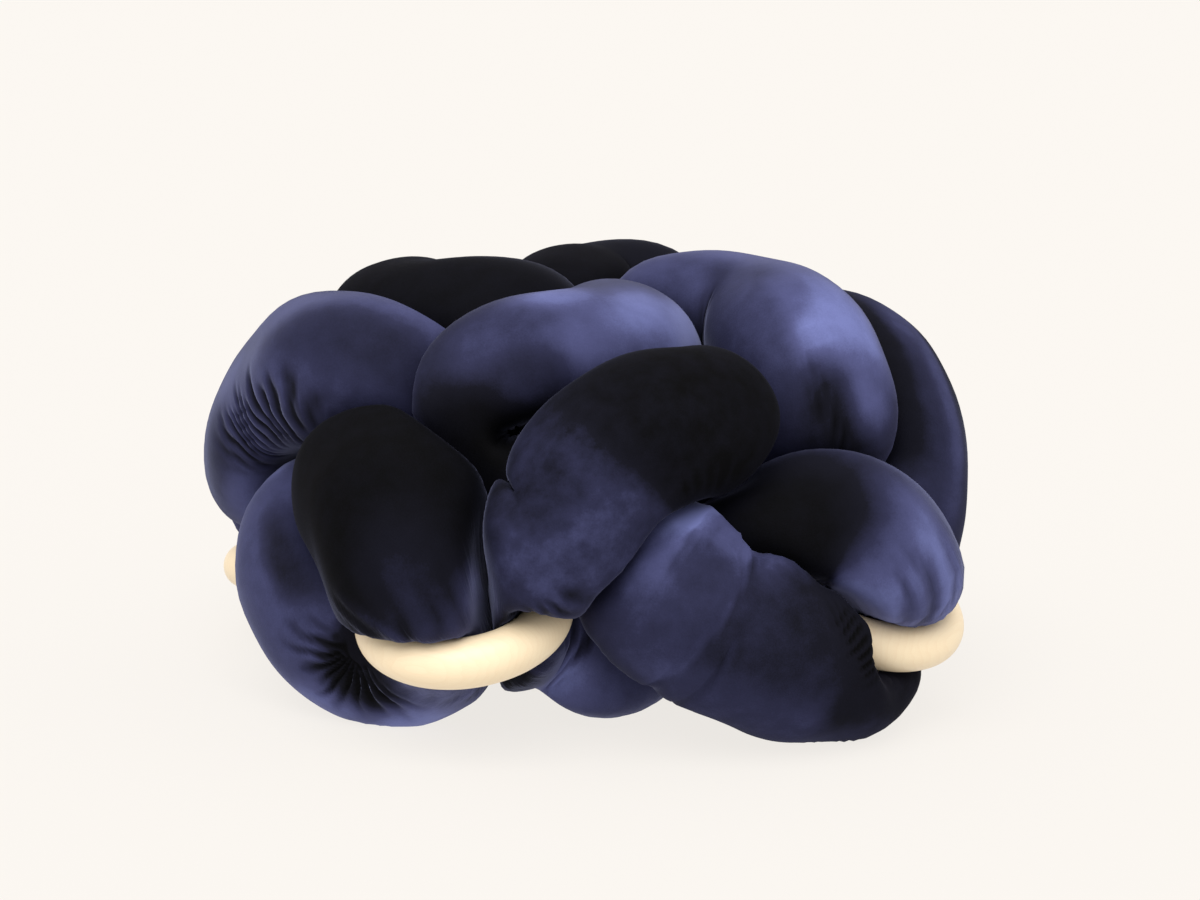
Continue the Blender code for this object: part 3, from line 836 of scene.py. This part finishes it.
# Where the tone steps along a line, at the seam where the nap changes and as painted shade below a painted
# highlight: the tone added on one side of it, and how far that reaches.
edge = namedtuple("edge", "corner place along round turn length reach tone")

edgeRows = (
    edge(1, "lower side", 14, 70, 94, 230, 60, -0.09),  # below the seam
    edge(1, "lower side", 14, 70, -86, 230, 16, 0.09),  # and above it
    edge(1, "upper side", -9, 98, 84, 100, 22, -0.16),  # painted shade below the painted highlight band of the right foot
)


def edgeTones(tube):
    # Each edge adds its tone times a bell along its line, from the line fading to one side of it.
    tones = 0.0
    for row in edgeRows:
        lengthwise, across = turnedPlace(tube, row)
        begun = smoothStep(-napAndPaintedLightShape["edgeBlur"], napAndPaintedLightShape["edgeBlur"], across)
        beside = begun * np.exp(-np.maximum(across, 0.0) / row.reach)
        tones = tones + row.tone * beside * flatBell(2.0 * lengthwise / row.length)
    return tones


def stroked(tube, tones, rows):  # each pulls the tone towards its own inside an ellipse with a soft edge
    for row in rows:
        past, turned = fromPlace(tube, row)
        away = np.hypot(past / row.lengthwise, turned / row.roundabout)
        share = 1.0 - smoothStep(napAndPaintedLightShape["strokeFull"], napAndPaintedLightShape["strokeEnds"], away)
        tones = tones + share * (row.tone - tones)
    return tones


def napAndPaintedLightTones(tube, sunk, creases):
    # The strokes, then the edges; painted shade darkens the troughs by their depth, and painted highlights
    # lighten low ridges by their height.
    tones = stroked(tube, napAndPaintedLightShape["unbrushed"] + wavered("nap", tube["points"]), napAndPaintedLightRows)
    tones = np.clip(tones + edgeTones(tube), 0.0, 1.0)
    ridges = np.clip(creases, 0.0, napAndPaintedLightShape["lowRidge"])
    return tones - napAndPaintedLightShape["paintedShadeInTroughs"] * sunk + napAndPaintedLightShape["paintedHighlightOnRidges"] * ridges


def pointAttribute(piece, name, values):
    vector = values.ndim == 3
    attribute = piece.data.attributes.new(name, "FLOAT_VECTOR" if vector else "FLOAT", "POINT")
    attribute.data.foreach_set("vector" if vector else "value", values.astype(np.float32).ravel())


def makeVelvetTube(material):
    tube = tubeSkin()
    tube["gather"] = gatherShare(tube)
    swell = wavered("swell", tube["points"]) - wavers["swell"].strength  # inwards only
    placed, cover = placedPleats(tube)
    sunk = placed + (1.0 - cover) * (pleatDepths(tube) + gatherDepths(tube))
    creases = creaseHeights(tube)
    raised = swell + creases - sunk
    points = kept(tube["points"] + raised[:, :, None] * tube["spokes"])
    piece = meshPiece("velvetTube", points, material)
    turn = tube["angle"]
    place = np.broadcast_to(tube["run"][:, None], points.shape[:2])
    roundabout = tube["radius"][:, None]
    clothPlace = np.stack([place, roundabout * np.cos(turn), roundabout * np.sin(turn)], axis=-1)
    pointAttribute(piece, "clothPlace", clothPlace * mm)
    pointAttribute(piece, "pileDirection", np.broadcast_to(tube["along"][:, None, :], points.shape))
    # the tone carries the pile's brushing together with painted light and painted shade
    pointAttribute(piece, "napAndPaintedLightTone", napAndPaintedLightTones(tube, sunk, creases))
    pointAttribute(piece, "gather", tube["gather"])
    pointAttribute(piece, "brushed", stroked(tube, napAndPaintedLightShape["unmarked"], brushRows))
    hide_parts("velvet_tube")
    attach(piece, "root")
    print("velvet tube made:", len(piece.data.polygons), "faces,", round(tube["length"]), "mm long")


def plainMaterial(name, colour, roughness):  # with its nodes and its shader
    material = bpy.data.materials.new(name)
    material.use_nodes = True
    shader = material.node_tree.nodes["Principled BSDF"]
    shader.inputs["Base Color"].default_value = (*colour, 1.0)
    shader.inputs["Roughness"].default_value = roughness
    return material, material.node_tree, shader


# A finish's unevenness is its amount, its size in metres and how far it is stretched, if at all.

velvetFinish = {
    "tones": (  # how brushed and how lit, as painted light and painted shade, then the colour
        (0.0, (0.0016, 0.0016, 0.0022)),
        (0.30, (0.0060, 0.0062, 0.0120)),
        (0.55, (0.0230, 0.0245, 0.0600)),
        (0.80, (0.0640, 0.0700, 0.1700)),
        (1.0, (0.1350, 0.1550, 0.3600)),
    ),
    "mottle": (0.05, 0.022),  # in the tone
    "pile": (0.05, 0.0012),  # in the tone
    "brushSize": 0.014,
    "pileHeight": (0.00006, 0.0012),
    "puckerHeight": (0.0012, 0.0045, 6.0),
    "roughness": 0.8,
    "specular": 0.05,
    "sheen": 0.22,
    "sheenRoughness": 0.25,
    "sheenTint": (0.55, 0.60, 1.0),
    "napLean": 0.25,  # how far the pile leans along the tube
}


# Short ways to add and join shader nodes; a source is a socket, or a value for the target itself.

def node(tree, kind, **values):
    made = tree.nodes.new("ShaderNode" + kind)
    for name, value in values.items():
        setattr(made, name, value)
    return made


def feed(tree, source, target):
    if isinstance(source, bpy.types.NodeSocket):
        tree.links.new(source, target)
    else:
        target.default_value = source


def maths(tree, operation, *values):
    made = node(tree, "Math", operation=operation)
    for value, socket in zip(values, made.inputs):
        feed(tree, value, socket)
    return made.outputs[0]


def given(tree, name, output="Fac"):  # what the mesh carries under that name
    return node(tree, "Attribute", attribute_name=name).outputs[output]


def ramped(tree, value, stops):  # a colour for each value, straight from one stop to the next
    ramp = node(tree, "ValToRGB")
    elements = ramp.color_ramp.elements
    for place, _ in stops[1:-1]:
        elements.new(place)
    for element, (place, colour) in zip(elements, stops):
        element.position = place
        element.color = (*colour, 1.0)
    feed(tree, value, ramp.inputs["Fac"])
    return ramp.outputs["Color"]


unevenShape = {"detail": 3.0, "roughness": 0.55}  # how many finer layers the noise has, and how strong


def makeUneven():
    # The group that every finish takes its unevenness from: noise about size metres across, stretched along
    # X, from -amount to amount.
    group = bpy.data.node_groups.new("uneven", "ShaderNodeTree")
    group.interface.new_socket(name="Vector", in_out="INPUT", socket_type="NodeSocketVector")
    for name, way in {"Size": "INPUT", "Stretch": "INPUT", "Amount": "INPUT", "Value": "OUTPUT"}.items():
        group.interface.new_socket(name=name, in_out=way, socket_type="NodeSocketFloat")
    inputs = group.nodes.new("NodeGroupInput").outputs
    parts = node(group, "SeparateXYZ")
    feed(group, inputs["Vector"], parts.inputs[0])
    squeezed = node(group, "CombineXYZ")
    feed(group, maths(group, "DIVIDE", parts.outputs["X"], inputs["Stretch"]), squeezed.inputs["X"])
    for axis in "YZ":
        feed(group, parts.outputs[axis], squeezed.inputs[axis])
    noise = node(group, "TexNoise")
    feed(group, squeezed.outputs["Vector"], noise.inputs["Vector"])
    feed(group, maths(group, "DIVIDE", 1.0, inputs["Size"]), noise.inputs["Scale"])
    noise.inputs["Detail"].default_value = unevenShape["detail"]
    noise.inputs["Roughness"].default_value = unevenShape["roughness"]
    centred = maths(group, "SUBTRACT", maths(group, "MULTIPLY", noise.outputs["Fac"], 2.0), 1.0)
    result = group.nodes.new("NodeGroupOutput").inputs["Value"]
    feed(group, maths(group, "MULTIPLY", centred, inputs["Amount"]), result)
    return group


uneven3d = makeUneven()


def unevenness(tree, vector, amount, size, stretch=1.0):
    made = node(tree, "Group", node_tree=uneven3d)
    for name, value in {"Vector": vector, "Size": size, "Stretch": stretch, "Amount": amount}.items():
        feed(tree, value, made.inputs[name])
    return made.outputs["Value"]


def bumped(tree, height):  # height in metres
    bump = node(tree, "Bump")
    bump.inputs["Distance"].default_value = 1.0
    feed(tree, height, bump.inputs["Height"])
    return bump.outputs["Normal"]


def makeVelvet(finish):
    velvet, tree, shader = plainMaterial("velvet", (0.02, 0.02, 0.04), finish["roughness"])
    shader.inputs["Specular IOR Level"].default_value = finish["specular"]
    shader.inputs["Sheen Weight"].default_value = finish["sheen"]
    shader.inputs["Sheen Roughness"].default_value = finish["sheenRoughness"]
    shader.inputs["Sheen Tint"].default_value = (*finish["sheenTint"], 1.0)
    here = node(tree, "TexCoord").outputs["Object"]
    # the painted tone: the pile's brushing with painted light and painted shade
    tone = given(tree, "napAndPaintedLightTone")
    for change in (
        unevenness(tree, here, given(tree, "brushed"), finish["brushSize"]),
        unevenness(tree, here, *finish["mottle"]),
        unevenness(tree, here, *finish["pile"]),
    ):
        tone = maths(tree, "ADD", tone, change)
    feed(tree, ramped(tree, tone, finish["tones"]), shader.inputs["Base Color"])
    puckers = unevenness(tree, given(tree, "clothPlace", "Vector"), *finish["puckerHeight"])
    height = maths(tree, "MULTIPLY", puckers, given(tree, "gather"))
    height = maths(tree, "ADD", height, unevenness(tree, here, *finish["pileHeight"]))
    lean = node(tree, "VectorMath", operation="MULTIPLY_ADD")
    feed(tree, given(tree, "pileDirection", "Vector"), lean.inputs[0])
    lean.inputs[1].default_value = (finish["napLean"],) * 3
    feed(tree, bumped(tree, height), lean.inputs[2])
    evened = node(tree, "VectorMath", operation="NORMALIZE")
    feed(tree, lean.outputs["Vector"], evened.inputs[0])
    feed(tree, evened.outputs["Vector"], shader.inputs["Normal"])
    return velvet


velvet = makeVelvet(velvetFinish)
makeVelvetTube(velvet)


# The wooden rings.

def makeRing(corner, material):
    # A circle of circles: the wood's middle line, plus half the thickness round it.
    middle, sideways, outward = ringMiddle(corner)
    upright = np.cross(outward, sideways)
    turn = roundTurns(ringShape["steps"])[:, None, None]
    roundAngle = roundTurns(ringShape["sectionSteps"])[None, :, None]
    out = np.cos(turn) * sideways + np.sin(turn) * outward
    half = ringShape["thickness"] / 2.0
    reach = ringShape["radius"] + half * np.cos(roundAngle)
    points = middle + out * reach - upright * half * np.sin(roundAngle)
    piece = meshPiece(f"woodRing{corner + 1}", points, material)
    offset = points - middle
    board = np.stack([dot(offset, sideways), dot(offset, outward), dot(offset, upright)], axis=-1)
    board[..., 1] += ringShape["boardsApart"] * corner
    pointAttribute(piece, "boardPlace", board * mm)
    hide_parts(f"wood_ring_{corner + 1}")
    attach(piece, "root")


woodFinish = {
    "growth": (  # from the pale early wood to the darker line that ends a year
        (0.0, (0.860, 0.730, 0.520)),
        (0.6, (0.810, 0.650, 0.440)),
        (1.0, (0.720, 0.540, 0.340)),
    ),
    "yearWidth": 0.0042,  # metres
    "yearSharpness": 2.5,
    "years": 0.2,  # how much darker a year ends
    "slant": 0.35,  # how steeply the years cross the board
    "bend": (0.010, 0.03, 3.5),  # of the years
    "usualTone": 0.24,
    "drift": (0.25, 0.02, 3.0),  # in the tone
    "fibre": (0.22, 0.0007, 14.0),  # in the tone
    "fibreHeight": (0.00002, 0.0007, 14.0),
    "roughness": 0.42,
    "roughnessDrift": (0.08, 0.004, 5.0),
}


def makeWood(finish):
    # Years are bands across the board, bent by long slow noise; fibres are short fine noise along it.
    wood, tree, shader = plainMaterial("wood", (0.75, 0.58, 0.37), finish["roughness"])
    inBoard = given(tree, "boardPlace", "Vector")
    parts = node(tree, "SeparateXYZ")
    feed(tree, inBoard, parts.inputs[0])
    depth = maths(tree, "MULTIPLY_ADD", parts.outputs["Z"], finish["slant"], parts.outputs["Y"])
    depth = maths(tree, "ADD", depth, unevenness(tree, inBoard, *finish["bend"]))
    year = maths(tree, "FRACT", maths(tree, "DIVIDE", depth, finish["yearWidth"]))
    year = maths(tree, "POWER", year, finish["yearSharpness"])
    year = maths(tree, "MULTIPLY_ADD", year, finish["years"], finish["usualTone"])
    drift = unevenness(tree, inBoard, *finish["drift"])
    fibre = unevenness(tree, inBoard, *finish["fibre"])
    tone = maths(tree, "ADD", year, maths(tree, "ADD", drift, fibre))
    feed(tree, ramped(tree, tone, finish["growth"]), shader.inputs["Base Color"])
    rough = maths(tree, "ADD", finish["roughness"], unevenness(tree, inBoard, *finish["roughnessDrift"]))
    feed(tree, rough, shader.inputs["Roughness"])
    fibreHeight = unevenness(tree, inBoard, *finish["fibreHeight"])
    feed(tree, bumped(tree, fibreHeight), shader.inputs["Normal"])
    return wood


wood = makeWood(woodFinish)
for corner in corners:
    makeRing(corner, wood)
print("rings made")


# Floor and light.

studio = {
    "floorSize": 60.0,
    "paper": (0.956, 0.922, 0.880),  # the colour that floor and backdrop show
    "floorLit": 0.10,  # the share of the floor's light that shadows can take away
    "floorOwn": 0.86,  # the share that comes from below, as on a light table
    "worldStrength": 1.0,
    "sunStrength": 2.4,
    "sunAngle": 50.0,
    "sunFrom": (-0.14, -0.66, 0.96),
    "sunColour": (1.0, 0.99, 0.97),
}


def makeFloor(colour, lit, own):
    half = studio["floorSize"] / 2.0
    sheet = [(-half, -half, 0.0), (half, -half, 0.0), (half, half, 0.0), (-half, half, 0.0)]
    mesh = bpy.data.meshes.new("floor")
    mesh.from_pydata(sheet, [], [(0, 1, 2, 3)])
    paper, _, shader = plainMaterial("floorPaper", tuple(lit * c for c in colour), 1.0)
    shader.inputs["Specular IOR Level"].default_value = 0.0
    shader.inputs["Emission Color"].default_value = (*colour, 1.0)
    shader.inputs["Emission Strength"].default_value = own
    mesh.materials.append(paper)
    linked("floor", mesh)


def makeStudio():
    makeFloor(studio["paper"], studio["floorLit"], studio["floorOwn"])
    world = bpy.data.worlds.new("studio")
    world.use_nodes = True
    background = world.node_tree.nodes["Background"]
    background.inputs["Color"].default_value = (*studio["paper"], 1.0)
    background.inputs["Strength"].default_value = studio["worldStrength"]
    bpy.context.scene.world = world
    lamp = bpy.data.lights.new("softSun", "SUN")
    lamp.energy = studio["sunStrength"]
    lamp.angle = math.radians(studio["sunAngle"])
    lamp.color = studio["sunColour"]
    linked("softSun", lamp).rotation_euler = Vector(studio["sunFrom"]).to_track_quat("Z", "Y").to_euler()


makeStudio()
bpy.context.scene.view_settings.view_transform = "Standard"
print("studio made")
